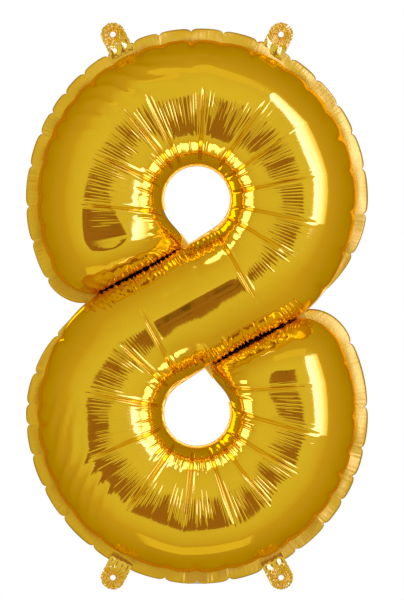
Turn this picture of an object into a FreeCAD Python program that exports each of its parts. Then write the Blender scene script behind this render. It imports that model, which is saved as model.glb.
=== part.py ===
"""Foil number balloon, figure 8: two metallised film panels welded round their edges and blown up with air.

The figure is one fat tube that starts as a lobe at the lower left of the upper ring, runs over the top of that
ring, crosses the waist as a diagonal and runs round the lower ring to a second lobe. Two slit welds part the lobes
from the diagonal. The figure looks the same after half a turn about the Y axis, so its upper half is worked out
and the lower half follows. The weld plane is Y = 0, the front faces -Y, +X is to the right and +Z is up.
"""

import FreeCAD, Part
import Sketcher
import math
import os

from FreeCAD import Vector

FULL_TURN = 360.0
HALF_TURN = 180.0
RIGHT_ANGLE = 90.0
SURFACE_DEGREE = 3

# how finely the inflated film is drawn
RISE_STEPS = 8
ACROSS_STEPS = 18
PATH_STEP = 8.0
OUTLINE_STEP = 4.0
CORNER_SLANT = 0.1

RIM_RADIUS = "(sizes.ring_radius + sizes.tube_width / 2 + sizes.rim)"
DIAGONAL_OFFSET = (
    "(sizes.ring_radius - sizes.tube_width / 2 - sizes.slit_tuck + sizes.slit_weld + sizes.diagonal_width / 2)"
)
RING_HEIGHT = f"({DIAGONAL_OFFSET} / cos(sizes.diagonal_slope * 1 deg))"

SIZES = [
    ("ring_radius", 69.5, "centre of a ring to the middle of its tube"),
    ("tube_width", 89.0, "weld to weld across a ring's tube"),
    ("panel_rise", 38.6, "how far one panel stands off the weld plane"),
    ("diagonal_width", 82.0, "weld to weld across the diagonal"),
    ("diagonal_slope", 28.9, "rise of the diagonal from the level, in degrees"),
    ("diagonal_blend", 61.0, "angle over which a ring narrows to the diagonal, in degrees"),
    ("slit_weld", 1.6, "width of the weld between a lobe and the diagonal"),
    ("slit_tuck", 0.6, "how far a lobe's end reaches inside the eye's edge, were it drawn on"),
    ("lobe_outer_corner", 34.0, "corner of a lobe on the outside of its ring"),
    ("lobe_inner_corner", 18.0, "corner of a lobe beside the ring's eye"),
    ("lobe_rise", 36.0, "length over which a lobe reaches its full height"),
    ("lobe_spread", 80.0, "angle over which a lobe's end squares up to its ring, in degrees"),
    ("rim", 8.5, "flat weld outside the tube"),
    ("eye_lip", 1.4, "flat weld inside a ring's eye"),
    ("eye_side", 22.2, "straight side of a teardrop eye, from its round part to its point"),
    ("waist_notch", 10.0, "how far the notch at the waist reaches in from a lobe's outer corner"),
    ("waist_turn", 17.0, "angle over which the rim rounds a lobe into its notch, in degrees"),
    ("film", 0.4, "film of a panel"),
    ("tab_width", 17.2, "hanging tab across"),
    ("tab_reach", 9.5, "crease of a tab to the middle of its hole"),
    ("tab_hole_radius", 2.0, "hole in a hanging tab"),
    ("tab_lean", 27.0, "lean of a tab from the vertical, in degrees"),
    ("crease_setback", 0.7, "edge of the rim to the line that a tab flexes about"),
    ("crease_gap", 0.3, "that line to the root of the tab"),
    ("valve_width", 14.0, "inflation valve across"),
    ("valve_length", 62.0, "inflation valve from the rim's edge inwards"),
    ("valve_film", 0.15, "film of the valve"),
    ("valve_clearance", 0.05, "round the valve where it passes through the weld"),
]


def fill_sheet(doc):
    """The driving sizes, each in a cell whose alias is its name."""
    sheet = doc.addObject("Spreadsheet::Sheet", "sizes")
    for row, (name, value, note) in enumerate(SIZES, start=1):
        sheet.set(f"A{row}", name)
        sheet.set(f"B{row}", str(value))
        sheet.set(f"C{row}", note)
        sheet.setAlias(f"B{row}", name)
    doc.recompute()
    return sheet


def ease(share):
    """0 to 1 with a level start and finish."""
    held = min(max(share, 0.0), 1.0)
    return held * held * (3.0 - 2.0 * held)


def quarter_round(share):
    """The height of a quarter circle that starts upright at 0 and ends level at 1."""
    held = min(max(share, 0.0), 1.0)
    return math.sqrt(1.0 - (1.0 - held) ** 2)


def corner_cut(share):
    """What a rounded corner takes off an edge. It starts at a slant, so that the edges meet at an angle."""
    return 1.0 - quarter_round(CORNER_SLANT + (1.0 - CORNER_SLANT) * share)


class Figure:
    """The balloon's flat layout, worked out from the sheet. Angles are degrees about a ring's centre from +X."""

    def __init__(self, sheet):
        for name, _, _ in SIZES:
            setattr(self, name, float(sheet.get(name)))
        self.outer_radius = self.ring_radius + self.tube_width / 2
        self.inner_radius = self.ring_radius - self.tube_width / 2
        self.rim_radius = self.outer_radius + self.rim
        self.eye_radius = self.inner_radius - self.eye_lip
        self.slit_offset = self.inner_radius - self.slit_tuck
        self.diagonal_offset = self.slit_offset + self.slit_weld + self.diagonal_width / 2
        self.slope = math.radians(self.diagonal_slope)
        self.ring_z = self.diagonal_offset / math.cos(self.slope)
        self.half_diagonal = self.diagonal_offset * math.tan(self.slope)
        self.join_angle = self.diagonal_slope - RIGHT_ANGLE
        self.lobe_start = self.lobe_angle(self.ring_radius, 0.0)
        self.lobe_square = self.lobe_start - self.lobe_spread
        self.lobe_length = math.radians(self.lobe_spread) * self.ring_radius
        self.ring_length = math.radians(self.lobe_square - self.join_angle) * self.ring_radius
        self.half_length = self.lobe_length + self.ring_length + self.half_diagonal

    def lobe_angle(self, radius, inset):
        """Where the lobe's straight end, drawn in by inset, crosses a circle about the ring's centre."""
        return self.join_angle + FULL_TURN - math.degrees(math.acos((self.slit_offset - inset) / radius))

    def narrowing(self, angle):
        """0 on the ring, 1 where the tube has become the diagonal."""
        return ease(1.0 - (angle - self.join_angle) / self.diagonal_blend)

    def middle_radius(self, angle):
        return self.ring_radius + (self.diagonal_offset - self.ring_radius) * self.narrowing(angle)

    def half_width(self, angle):
        return (self.tube_width + (self.diagonal_width - self.tube_width) * self.narrowing(angle)) / 2

    def on_ring(self, radius, angle):
        turn = math.radians(angle)
        return radius * math.cos(turn), self.ring_z + radius * math.sin(turn)

    def sides(self, along, inset):
        """The tube's reach outwards and inwards from its middle line, along from a lobe's end."""
        outer_run = self.lobe_outer_corner * self.ring_radius / self.outer_radius
        inner_run = self.lobe_inner_corner * self.ring_radius / self.inner_radius
        outer_cut = self.lobe_outer_corner * corner_cut(along / outer_run)
        inner_cut = self.lobe_inner_corner * corner_cut(along / inner_run)
        return outer_cut + inset, inner_cut + inset

    def upper_point(self, along, side, inset):
        """A point of the upper half of the tube: along from the lobe's end, side from -1, inner, to 1, outer."""
        outer_cut, inner_cut = self.sides(along, inset)
        if along <= self.lobe_length:
            share = along / self.lobe_length
            reach = self.across(self.tube_width / 2, outer_cut, inner_cut, side)
            radius = self.ring_radius + reach
            angle = self.lobe_angle(radius, inset) * (1.0 - share) + self.lobe_square * share
            return self.on_ring(radius, angle)
        if along <= self.lobe_length + self.ring_length:
            share = (along - self.lobe_length) / self.ring_length
            angle = self.lobe_square + (self.join_angle - self.lobe_square) * share
            reach = self.across(self.half_width(angle), outer_cut, inner_cut, side)
            return self.on_ring(self.middle_radius(angle) + reach, angle)
        left = self.half_length - along
        reach = self.across(self.diagonal_width / 2, outer_cut, inner_cut, side)
        x = left * math.cos(self.slope) + reach * math.sin(self.slope)
        z = left * math.sin(self.slope) - reach * math.cos(self.slope)
        return x, z

    def across(self, half, outer_cut, inner_cut, side):
        """From side, -1 to 1, to a distance from the middle line, with each edge drawn in by its cut."""
        outer = half - outer_cut
        inner = half - inner_cut
        return (outer - inner) / 2 + side * (outer + inner) / 2

    def point(self, along, side, inset):
        """As upper_point, over the whole tube: the lower half is the upper half turned by half a turn."""
        if along <= self.half_length:
            return self.upper_point(along, side, inset)
        x, z = self.upper_point(2 * self.half_length - along, -side, inset)
        return -x, -z

    def rise(self, along):
        """The tube's height over the weld plane as a share of its full height."""
        from_end = min(along, 2 * self.half_length - along)
        return quarter_round(from_end / self.lobe_rise)

    def stations(self):
        """Distances along the tube, close together at the lobes' ends where the film turns upright."""
        start = []
        for step in range(RISE_STEPS):
            turn = math.radians(RIGHT_ANGLE * step / RISE_STEPS)
            start.append(self.lobe_rise * (1.0 - math.cos(turn)))
        length = 2 * self.half_length
        steps = math.ceil((length - 2 * self.lobe_rise) / PATH_STEP)
        run = (length - 2 * self.lobe_rise) / steps
        middle = [self.lobe_rise + run * step for step in range(steps + 1)]
        finish = [length - place for place in reversed(start)]
        return start + middle + finish


def knots(poles):
    """Knots and multiplicities of a clamped, even spline of the surface's degree."""
    spans = poles - SURFACE_DEGREE
    values = [float(place) for place in range(spans + 1)]
    repeats = [SURFACE_DEGREE + 1] + [1] * (spans - 1) + [SURFACE_DEGREE + 1]
    return values, repeats


def inflated_face(figure, inset, floor, crest):
    """One skin of the inflated film: half-ellipse sections over the tube, from the height floor up to crest."""
    poles = []
    for along in figure.stations():
        row = []
        for step in range(ACROSS_STEPS + 1):
            turn = math.radians(HALF_TURN * step / ACROSS_STEPS - RIGHT_ANGLE)
            x, z = figure.point(along, math.sin(turn), inset)
            height = floor + (crest - floor) * figure.rise(along) * math.cos(turn)
            row.append(Vector(x, -height, z))
        poles.append(row)
    along_knots, along_repeats = knots(len(poles))
    across_knots, across_repeats = knots(ACROSS_STEPS + 1)
    surface = Part.BSplineSurface()
    surface.buildFromPolesMultsKnots(
        poles,
        along_repeats,
        across_repeats,
        along_knots,
        across_knots,
        False,
        False,
        SURFACE_DEGREE,
        SURFACE_DEGREE,
    )
    return surface.toShape()


def waist_notch(figure):
    """The right-hand notch, as an angle and a radius about the upper ring. The lower lobe meets the tube there."""
    lobe_reach = math.sqrt(figure.outer_radius**2 - figure.slit_offset**2)
    past_join = lobe_reach - figure.waist_notch - 2 * figure.half_diagonal
    turn = math.degrees(math.asin(past_join / (figure.diagonal_offset + figure.diagonal_width / 2)))
    angle = figure.join_angle + turn
    radius = figure.middle_radius(angle) + figure.half_width(angle) + figure.slit_weld / 2
    return angle, radius


def rim_radius_at(figure, angle, right_end, left_end):
    """The rim's outer edge about the upper ring: a circle that shrinks towards the waist notch at each end."""
    right_angle, right_radius = right_end
    left_angle, left_radius = left_end
    slimming = figure.narrowing(angle) / figure.narrowing(right_angle)
    right_drop = (figure.rim_radius - right_radius) * min(slimming, 1.0)
    from_notch = (left_angle - angle) / figure.waist_turn
    left_drop = (figure.rim_radius - left_radius) * corner_cut(from_notch) / corner_cut(0.0)
    return figure.rim_radius - right_drop - left_drop


def rim_wire(figure, height):
    """The balloon's outline: one smooth curve round each ring, meeting in the two waist notches."""
    right_end = waist_notch(figure)
    notch_x, notch_z = figure.on_ring(right_end[1], right_end[0])
    left_x, left_z = -notch_x, -notch_z - figure.ring_z
    left_end = (math.degrees(math.atan2(left_z, left_x)) + FULL_TURN, math.hypot(left_x, left_z))
    span = left_end[0] - right_end[0]
    steps = math.ceil(math.radians(span) * figure.rim_radius / OUTLINE_STEP)
    upper = []
    for step in range(steps + 1):
        angle = right_end[0] + span * step / steps
        radius = rim_radius_at(figure, angle, right_end, left_end)
        x, z = figure.on_ring(radius, angle)
        upper.append(Vector(x, -height, z))
    lower = [Vector(-spot.x, spot.y, -spot.z) for spot in upper]
    edges = []
    for spots in (upper, lower):
        curve = Part.BSplineCurve()
        curve.interpolate(spots)
        edges.append(curve.toShape())
    return Part.Wire(edges)


def eye_wire(figure, height, turned):
    """A teardrop eye: an arc about the ring's centre closed by its two tangents from the point on the slit."""
    point_radius = math.hypot(figure.eye_radius, figure.eye_side)
    off_square = math.acos((figure.slit_offset + figure.slit_weld / 2) / point_radius)
    point_angle = figure.join_angle + FULL_TURN - math.degrees(off_square)
    spread = math.degrees(math.acos(figure.eye_radius / point_radius))
    spots = [
        figure.on_ring(point_radius, point_angle),
        figure.on_ring(figure.eye_radius, point_angle + spread),
        figure.on_ring(figure.eye_radius, point_angle + HALF_TURN),
        figure.on_ring(figure.eye_radius, point_angle - spread),
    ]
    sign = -1.0 if turned else 1.0
    point, first, far, last = [Vector(sign * x, -height, sign * z) for x, z in spots]
    return Part.Wire(
        [
            Part.LineSegment(point, first).toShape(),
            Part.Arc(first, far, last).toShape(),
            Part.LineSegment(last, point).toShape(),
        ]
    )


def panel_shape(figure):
    """The front panel: an outer and an inner skin joined through the flat weld round the tube and the eyes."""
    outer = inflated_face(figure, 0.0, figure.film, figure.film + figure.panel_rise)
    inner = inflated_face(figure, figure.film, 0.0, figure.panel_rise)
    faces = [outer, inner]
    for skin, height in ((outer, figure.film), (inner, 0.0)):
        wires = [
            rim_wire(figure, height),
            Part.Wire(Part.__sortEdges__(skin.Edges)),
            eye_wire(figure, height, False),
            eye_wire(figure, height, True),
        ]
        faces.append(Part.makeFace(wires, "Part::FaceMakerBullseye"))
    through = Vector(0, -figure.film, 0)
    for wire in (rim_wire(figure, 0.0), eye_wire(figure, 0.0, False), eye_wire(figure, 0.0, True)):
        faces.extend(wire.extrude(through).Faces)
    shell = Part.makeShell(faces)
    shell.sewShape()
    solid = Part.makeSolid(shell)
    if solid.Volume < 0:
        solid.reverse()
    return solid


def place(name):
    """The expression for a size in the sheet."""
    return f"sizes.{name}"


def front_panel(doc, figure):
    """The front film, less its half of the way that the weld leaves for the valve."""
    film = doc.addObject("Part::Feature", "front_film")
    film.Shape = panel_shape(figure)
    channel = doc.addObject("Part::Box", "front_valve_way")
    channel.setExpression("Length", "sizes.valve_width + 2 * sizes.valve_clearance")
    channel.setExpression("Width", "sizes.valve_film + sizes.valve_clearance")
    channel.setExpression("Height", "sizes.valve_length")
    channel.setExpression("Placement.Base.x", "-sizes.valve_width / 2 - sizes.valve_clearance")
    channel.setExpression("Placement.Base.y", "-sizes.valve_film - sizes.valve_clearance")
    channel.setExpression("Placement.Base.z", f"-{RIM_RADIUS} - {RING_HEIGHT} - sizes.valve_clearance")
    panel = doc.addObject("Part::Cut", "front_panel")
    panel.Base = film
    panel.Tool = channel
    return panel


def back_panel(doc, front):
    """The back film is the front one mirrored in the weld plane."""
    panel = doc.addObject("Part::Mirroring", "back_panel")
    panel.Source = front
    panel.Base = Vector(0, 0, 0)
    panel.Normal = Vector(0, 1, 0)
    return panel


def valve_film(doc, label, low_side):
    """One of the two flat films of the inflation valve, from the rim's lowest edge up into the tube."""
    strip = doc.addObject("Part::Box", label)
    strip.setExpression("Length", "sizes.valve_width")
    strip.setExpression("Width", "sizes.valve_film")
    strip.setExpression("Height", "sizes.valve_length")
    strip.setExpression("Placement.Base.x", "-sizes.valve_width / 2")
    strip.setExpression("Placement.Base.y", low_side)
    strip.setExpression("Placement.Base.z", f"-{RIM_RADIUS} - {RING_HEIGHT}")
    return strip


def origin_plane(body, role):
    for feature in body.Origin.OriginFeatures:
        if feature.Role == role:
            return feature
    raise LookupError(role)


def tab_outline(sketch):
    """A tab's edge: a straight root, two straight sides and a round end about the hole. Its crease is at z = 0."""
    width, gap, reach = 10.0, 1.0, 10.0
    half = width / 2
    root_left = Vector(-half, gap, 0)
    root_right = Vector(half, gap, 0)
    end_left = Vector(-half, reach, 0)
    end_right = Vector(half, reach, 0)
    middle = Vector(0, reach, 0)
    up = Vector(0, 0, 1)
    root = sketch.addGeometry(Part.LineSegment(root_left, root_right))
    right = sketch.addGeometry(Part.LineSegment(root_right, end_right))
    end = sketch.addGeometry(Part.ArcOfCircle(Part.Circle(middle, up, half), 0.0, math.pi))
    left = sketch.addGeometry(Part.LineSegment(end_left, root_left))
    rules = Sketcher.Constraint
    sketch.addConstraint(rules("Coincident", root, 2, right, 1))
    sketch.addConstraint(rules("Tangent", right, 2, end, 1))
    sketch.addConstraint(rules("Tangent", end, 2, left, 1))
    sketch.addConstraint(rules("Coincident", left, 2, root, 1))
    sketch.addConstraint(rules("Symmetric", root, 1, root, 2, -2))
    sketch.addConstraint(rules("Vertical", right))
    sketch.addConstraint(rules("Vertical", left))
    named = (
        ("width", rules("DistanceX", root, 1, root, 2, width), "tab_width"),
        ("gap", rules("DistanceY", -1, 1, root, 1, gap), "crease_gap"),
        ("reach", rules("DistanceY", -1, 1, end, 3, reach), "tab_reach"),
    )
    bind(sketch, named)


def tab_hole(sketch):
    """The hole that a ribbon goes through, on the tab's middle line."""
    radius, reach = 1.0, 10.0
    circle = sketch.addGeometry(Part.Circle(Vector(0, reach, 0), Vector(0, 0, 1), radius))
    rules = Sketcher.Constraint
    sketch.addConstraint(rules("PointOnObject", circle, 3, -2))
    named = (
        ("radius", rules("Radius", circle, radius), "tab_hole_radius"),
        ("reach", rules("DistanceY", -1, 1, circle, 3, reach), "tab_reach"),
    )
    bind(sketch, named)


def bind(sketch, named):
    """Adds each dimension under its name and ties it to the sheet."""
    for name, rule, size in named:
        number = sketch.addConstraint(rule)
        sketch.renameConstraint(number, name)
        sketch.setExpression(f"Constraints.{name}", place(size))


def hanging_tab(doc, label, across, up):
    """A two-ply ear of film on the rim, padded both ways from the weld plane. across and up are 1 or -1."""
    body = doc.addObject("PartDesign::Body", label)
    outline = body.newObject("Sketcher::SketchObject", f"{label}_outline")
    outline.AttachmentSupport = [(origin_plane(body, "XZ_Plane"), "")]
    outline.MapMode = "FlatFace"
    tab_outline(outline)
    plies = body.newObject("PartDesign::Pad", f"{label}_plies")
    plies.Profile = outline
    plies.SideType = "Symmetric"
    plies.setExpression("Length", "2 * sizes.film")
    doc.recompute()
    hole = body.newObject("Sketcher::SketchObject", f"{label}_hole")
    hole.AttachmentSupport = [(origin_plane(body, "XZ_Plane"), "")]
    hole.MapMode = "FlatFace"
    tab_hole(hole)
    punched = body.newObject("PartDesign::Pocket", f"{label}_punched")
    punched.Profile = hole
    punched.SideType = "Symmetric"
    punched.Type = "ThroughAll"
    body.Tip = punched
    lean = f"{'' if across * up > 0 else '-'}sizes.tab_lean"
    body.Placement = FreeCAD.Placement(Vector(0, 0, 0), FreeCAD.Rotation(Vector(0, 1, 0), 1.0))
    body.setExpression("Placement.Rotation.Angle", f"{lean} + {0 if up > 0 else HALF_TURN}")
    crease = f"({RIM_RADIUS} + sizes.crease_setback)"
    body.setExpression("Placement.Base.x", f"{across} * {crease} * sin(sizes.tab_lean * 1 deg)")
    body.setExpression("Placement.Base.z", f"{up} * ({RING_HEIGHT} + {crease} * cos(sizes.tab_lean * 1 deg))")
    return body


def check(doc, parts):
    """Stops if anything failed to compute or any piece has no sound solid."""
    for thing in doc.Objects:
        if "Invalid" in thing.State or "Error" in thing.State:
            raise RuntimeError(f"{thing.Label} failed: {thing.State}")
    for piece in parts:
        if piece.Shape.isNull() or not piece.Shape.isValid():
            raise RuntimeError(f"{piece.Label} has no valid shape")
        if len(piece.Shape.Solids) != 1 or piece.Shape.Volume <= 0:
            raise RuntimeError(f"{piece.Label} is not one solid")


def main():
    doc = FreeCAD.newDocument("foil_number_balloon")
    figure = Figure(fill_sheet(doc))
    front = front_panel(doc, figure)
    parts = [
        front,
        back_panel(doc, front),
        valve_film(doc, "valve_film_front", "-sizes.valve_film"),
        valve_film(doc, "valve_film_back", "0"),
    ]
    for level, up in (("upper", 1), ("lower", -1)):
        for side, across in (("left", -1), ("right", 1)):
            parts.append(hanging_tab(doc, f"hanging_tab_{level}_{side}", across, up))
    doc.recompute()
    check(doc, parts)
    os.makedirs("parts", exist_ok=True)
    for piece in parts:
        box = piece.Shape.BoundBox
        print(f"{piece.Label}: {piece.Shape.Volume:.1f} mm3, {box}")
        piece.Shape.exportStep(f"parts/{piece.Label}.step")


main()
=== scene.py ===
"""Looks of the foil number balloon, figure 8: crumpled gold film, welded rim, hanging tabs and inflation valve.

Lengths are metres and angles degrees about a ring's centre from +X. The front faces -Y and +Z is up. The tube
of the figure runs from the lobe of the upper ring over that ring, down the diagonal and round the lower ring
to its lobe, and looks the same after half a turn about Y. So everything is worked out for one half in its own
frame, where the ring is the upper one, and the other half is turned into place.
"""

import logging
import math
from dataclasses import dataclass
from enum import Enum
from functools import cached_property

import bpy
import numpy as np
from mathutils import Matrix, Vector


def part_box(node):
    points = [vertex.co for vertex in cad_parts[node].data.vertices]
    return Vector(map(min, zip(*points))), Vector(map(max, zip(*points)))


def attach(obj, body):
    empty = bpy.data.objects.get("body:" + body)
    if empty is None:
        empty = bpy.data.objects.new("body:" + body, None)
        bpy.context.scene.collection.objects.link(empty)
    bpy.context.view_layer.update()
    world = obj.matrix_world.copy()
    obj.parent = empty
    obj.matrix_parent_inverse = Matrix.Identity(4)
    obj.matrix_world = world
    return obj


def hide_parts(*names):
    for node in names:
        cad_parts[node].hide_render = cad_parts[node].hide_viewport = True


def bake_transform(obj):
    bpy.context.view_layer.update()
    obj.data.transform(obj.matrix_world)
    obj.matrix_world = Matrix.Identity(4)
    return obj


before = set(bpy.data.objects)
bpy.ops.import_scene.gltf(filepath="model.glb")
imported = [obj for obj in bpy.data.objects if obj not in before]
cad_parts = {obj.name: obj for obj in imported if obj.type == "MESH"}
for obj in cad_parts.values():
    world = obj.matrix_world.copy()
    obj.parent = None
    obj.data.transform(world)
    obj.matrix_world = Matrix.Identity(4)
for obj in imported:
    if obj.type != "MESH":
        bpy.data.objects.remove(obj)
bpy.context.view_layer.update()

log = logging.getLogger("balloon")

Array = np.ndarray
Colour = tuple[float, float, float]

FULL_TURN = 360.0
HALF_TURN = 180.0
RIGHT_ANGLE = 90.0
MM = 0.001

SINES = 9
SINE_SPREAD = (0.6, 1.6)
SINE_PEAK = 1.6
GATHER_MEAN = 0.62


class Face(Enum):
    """The two films, by the way that they bulge along Y."""

    FRONT = -1.0
    BACK = 1.0


# ---------------------------------------------------------------- helpers on arrays


def ease(share: Array) -> Array:
    """Turns 0 to 1 into 0 to 1 with a level start and finish, and holds what lies outside."""
    held = np.clip(share, 0.0, 1.0)
    return held * held * (3.0 - 2.0 * held)


def quarter_round(share: Array) -> Array:
    """The height of a quarter circle that starts upright at 0 and ends level at 1."""
    return np.sqrt(1.0 - (1.0 - np.clip(share, 0.0, 1.0)) ** 2)


def hump(value: Array, low: float | Array, high: float | Array, soft: float, fall: float = 0.0) -> Array:
    """1 between low and high and 0 outside, with an eased slope inside each end.

    Args:
        value: where to read the hump.
        low: where it starts to rise.
        high: where it has fallen to nothing.
        soft: the length of each slope.
        fall: the length of the second slope, if it isn't that of the first.

    Returns:
        The hump's height at each value.
    """
    return ease((value - low) / soft) * ease((high - value) / (fall or soft))


def lowest(first: Array, second: Array, join: float) -> Array:
    """The lower of two heights, with the corner between them rounded off by the given amount."""
    near = np.clip(join - np.abs(first - second), 0.0, None) / join
    return np.minimum(first, second) - near**2 * join / 4


def noise(seed: int, length: float, *coordinates: Array) -> Array:
    """Smooth noise: a sum of sines whose directions, lengths and phases are drawn from the seed.

    Args:
        seed: what makes this noise differ from another.
        length: the middle wavelength, in the coordinates' own unit.
        coordinates: the points to read it at, as one array per axis.

    Returns:
        The noise at each point, mostly between -1 and 1.
    """
    draw = np.random.default_rng(seed)
    direction = draw.normal(size=(SINES, len(coordinates)))
    direction /= np.linalg.norm(direction, axis=1, keepdims=True)
    pull = direction * (2 * math.pi / (length * draw.uniform(*SINE_SPREAD, size=(SINES, 1))))
    total = 0.0
    for rates, turn in zip(pull, draw.uniform(0, 2 * math.pi, size=SINES), strict=True):
        for rate, values in zip(rates, coordinates, strict=True):
            turn = turn + rate * values
        total = total + np.sin(turn)
    return total / math.sqrt(SINES / 2) / SINE_PEAK


def away_from(marks: tuple[float, ...], angle: Array, radius: Array | float) -> Array:
    """Distance along a circle of the given radius from each angle to the nearest of the marks."""
    return np.radians(np.abs(angle[..., None] - np.array(marks)).min(axis=-1)) * radius


def between(marks: tuple[float, ...], angle: Array) -> tuple[Array, Array]:
    """Finds the gap between two marks that each angle lies in.

    Args:
        marks: angles in rising order.
        angle: the angles to look up.

    Returns:
        The middle and the half span of the gap.
    """
    spots = np.array(marks)
    index = np.clip(np.searchsorted(spots, angle), 1, len(spots) - 1)
    low, high = spots[index - 1], spots[index]
    return (low + high) / 2, (high - low) / 2


def polar(x: Array, z: Array, start: float) -> tuple[Array, Array]:
    """Radius and angle about the origin, the angle given between start and start plus a full turn."""
    return np.hypot(x, z), (np.degrees(np.arctan2(z, x)) - start) % FULL_TURN + start


# ---------------------------------------------------------------- the flat figure


@dataclass(frozen=True)
class Figure:
    """The balloon's layout seen from the front, in the frame of one half."""

    rim_radius: float
    ring_z: float
    rise: float
    ring_radius: float = 69.5 * MM
    tube_width: float = 89.0 * MM
    diagonal_width: float = 82.0 * MM
    slope: float = 28.9
    slit_weld: float = 1.6 * MM
    slit_tuck: float = 0.6 * MM
    eye_lip: float = 1.4 * MM
    eye_side: float = 22.2 * MM
    diagonal_blend: float = 61.0
    lobe_spread: float = 80.0
    lobe_rise: float = 30.0 * MM
    outer_corner: float = 34.0 * MM
    inner_corner: float = 18.0 * MM
    corner_slant: float = 0.1
    waist_notch: float = 10.0 * MM

    @property
    def outer_radius(self) -> float:
        """The weld outside a ring's tube."""
        return self.ring_radius + self.tube_width / 2

    @property
    def inner_radius(self) -> float:
        """The weld round a ring's eye."""
        return self.ring_radius - self.tube_width / 2

    @property
    def slit_offset(self) -> float:
        """Ring centre to the straight end of its lobe."""
        return self.inner_radius - self.slit_tuck

    @property
    def slit_middle(self) -> float:
        """Ring centre to the middle line of its slit's weld."""
        return self.slit_offset + self.slit_weld / 2

    @property
    def eye_radius(self) -> float:
        """The eye's hole."""
        return self.inner_radius - self.eye_lip

    @property
    def eye_point(self) -> float:
        """Ring centre to the eye's point."""
        return math.hypot(self.eye_radius, self.eye_side)

    @property
    def eye_point_angle(self) -> float:
        """Where the eye's point stands about the ring."""
        return self.join_angle - math.degrees(math.acos(self.slit_middle / self.eye_point))

    @property
    def slit_start(self) -> float:
        """Distance along the slit from beside the ring's centre to the eye's point."""
        return math.sqrt(self.eye_point**2 - self.slit_middle**2)

    @property
    def diagonal_offset(self) -> float:
        """Ring centre to the diagonal's middle line."""
        return self.slit_offset + self.slit_weld + self.diagonal_width / 2

    @property
    def join_angle(self) -> float:
        """Where the ring's tube has become the diagonal."""
        return self.slope - RIGHT_ANGLE

    @property
    def half_diagonal(self) -> float:
        """Length of the straight part of one half."""
        return self.diagonal_offset * math.tan(math.radians(self.slope))

    @property
    def lobe_start(self) -> float:
        """Where the lobe's end crosses the middle line."""
        return float(self.lobe_angle(np.array(self.ring_radius)))

    @property
    def lobe_square(self) -> float:
        """Where the sections have turned square to the ring."""
        return self.lobe_start - self.lobe_spread

    @property
    def lobe_length(self) -> float:
        """Length along the middle line over which the sections turn square."""
        return math.radians(self.lobe_spread) * self.ring_radius

    @property
    def half_length(self) -> float:
        """Length of one half of the tube: its lobe, the rest of its ring and its part of the diagonal."""
        ring = math.radians(self.lobe_square - self.join_angle) * self.ring_radius
        return self.lobe_length + ring + self.half_diagonal

    def lobe_angle(self, radius: Array) -> Array:
        """Where the lobe's straight end crosses a circle about the ring's centre."""
        share = np.clip(self.slit_offset / radius, -1.0, 1.0)
        return self.join_angle + FULL_TURN - np.degrees(np.arccos(share))

    def narrowing(self, angle: Array) -> Array:
        """0 on the ring, 1 where the tube has become the diagonal."""
        return ease(1.0 - (angle - self.join_angle) / self.diagonal_blend)

    def middle_radius(self, angle: Array) -> Array:
        """Ring centre to the tube's middle line."""
        return self.ring_radius + (self.diagonal_offset - self.ring_radius) * self.narrowing(angle)

    def half_width(self, angle: Array) -> Array:
        """Half the tube's width."""
        return (self.tube_width + (self.diagonal_width - self.tube_width) * self.narrowing(angle)) / 2

    def corner_cut(self, share: Array) -> Array:
        """What a rounded corner takes off an edge, starting at a slant."""
        return 1.0 - quarter_round(self.corner_slant + (1.0 - self.corner_slant) * share)

    def corner(self, size: float, along: Array, weld_radius: float) -> Array:
        """How far a lobe's corner of the given size draws in the weld that runs at the given radius."""
        return size * self.corner_cut(along / (size * self.ring_radius / weld_radius))

    def section_angle(self, along: Array) -> Array:
        """The angle of each section's middle about the ring, running on evenly down the diagonal.

        Args:
            along: distance along the middle line from the lobe's end.

        Returns:
            The angle: it falls faster in the lobe, where the sections turn square.
        """
        lobe = self.lobe_start - self.lobe_spread * along / self.lobe_length
        ring = self.lobe_square - np.degrees((along - self.lobe_length) / self.ring_radius)
        return np.where(along <= self.lobe_length, lobe, ring)

    def place(self, along: Array, side: Array) -> tuple[Array, Array]:
        """Where a point of the tube lies seen from the front.

        The reach from the middle line is side times the half width, less what the lobe's corners take off. On
        the ring it is laid off along a ray from the ring's centre. In the lobe the ray's angle runs evenly from
        the lobe's straight end to the square section. On the diagonal it is laid off square to the straight.

        Args:
            along: distance along the middle line from the lobe's end.
            side: -1 at the eye's weld to 1 at the outer weld.

        Returns:
            x, and z above the ring's centre.
        """
        angle = self.section_angle(along)
        left = self.half_length - along
        straight = left < self.half_diagonal
        half = np.where(straight, self.diagonal_width / 2, self.half_width(angle))
        outer = half - self.corner(self.outer_corner, along, self.outer_radius)
        inner = half - self.corner(self.inner_corner, along, self.inner_radius)
        reach = (outer - inner) / 2 + side * (outer + inner) / 2
        radius = self.middle_radius(np.maximum(angle, self.join_angle)) + reach
        share = along / self.lobe_length
        skewed = self.lobe_angle(radius) * (1.0 - share) + self.lobe_square * share
        turn = np.radians(np.where(along <= self.lobe_length, skewed, angle))
        slope = math.radians(self.slope)
        x = np.where(straight, left * math.cos(slope) + reach * math.sin(slope), radius * np.cos(turn))
        down = left * math.sin(slope) - reach * math.cos(slope) - self.ring_z
        return x, np.where(straight, down, radius * np.sin(turn))

    def waist(self) -> tuple[float, float]:
        """The notch where the other half's lobe meets this half's tube.

        Returns:
            Its angle and radius.
        """
        lobe_reach = math.sqrt(self.outer_radius**2 - self.slit_offset**2)
        past_join = lobe_reach - self.waist_notch - 2 * self.half_diagonal
        turn = math.degrees(math.asin(past_join / (self.diagonal_offset + self.diagonal_width / 2)))
        angle = self.join_angle + turn
        seam = float(self.middle_radius(np.array(angle)) + self.half_width(np.array(angle)))
        return angle, seam + self.slit_weld / 2

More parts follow.
